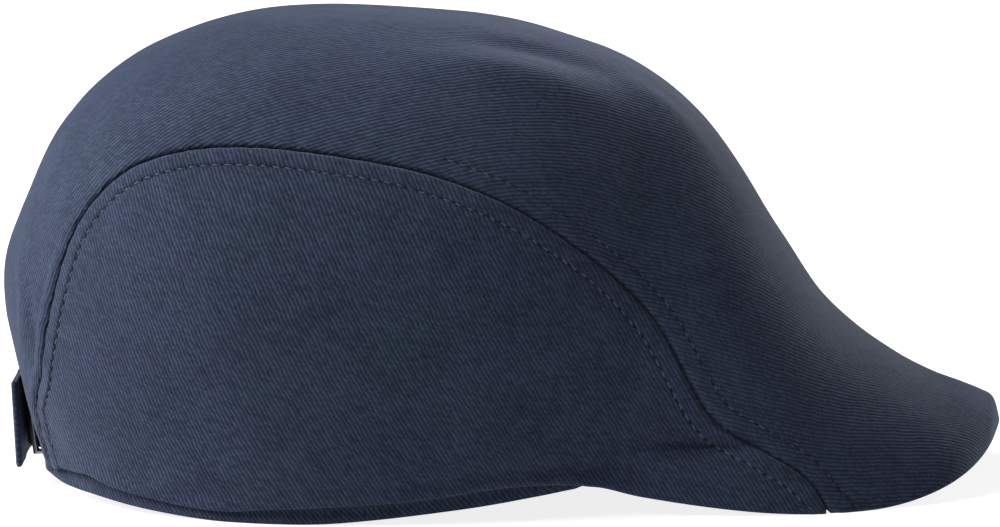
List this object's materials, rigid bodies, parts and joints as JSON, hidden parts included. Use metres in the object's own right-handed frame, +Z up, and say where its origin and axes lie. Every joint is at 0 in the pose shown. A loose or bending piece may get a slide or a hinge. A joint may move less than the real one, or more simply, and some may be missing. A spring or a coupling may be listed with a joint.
{
  "type": "duckbill flat cap",
  "caption": "Soft twill cap with a wide centre panel that runs down over a curved stiff peak, two side panels, a sweatband and an adjustable back strap.",
  "frame": {"origin": "on the surface that the cap rests on, under the middle of its bounding box", "axes": "+X to the front of the cap, +Y to the wearer's left, +Z up"},
  "size_m": [0.2784, 0.175, 0.1307],
  "materials": {
    "twill": "navy cotton twill, matt with a soft sheen",
    "under_cover": "navy cotton twill on the underside of the peak",
    "band_twill": "navy bias-cut twill band",
    "steel": "small plain metal slide"
  },
  "bodies": {
    "root": {"centre_panel": "twill", "side_panel_right": "twill", "side_panel_left": "twill", "peak": "under_cover", "sweatband": "band_twill", "back_strap": "twill", "strap_tail": "twill", "strap_slide": "steel"}
  },
  "joints": []
}
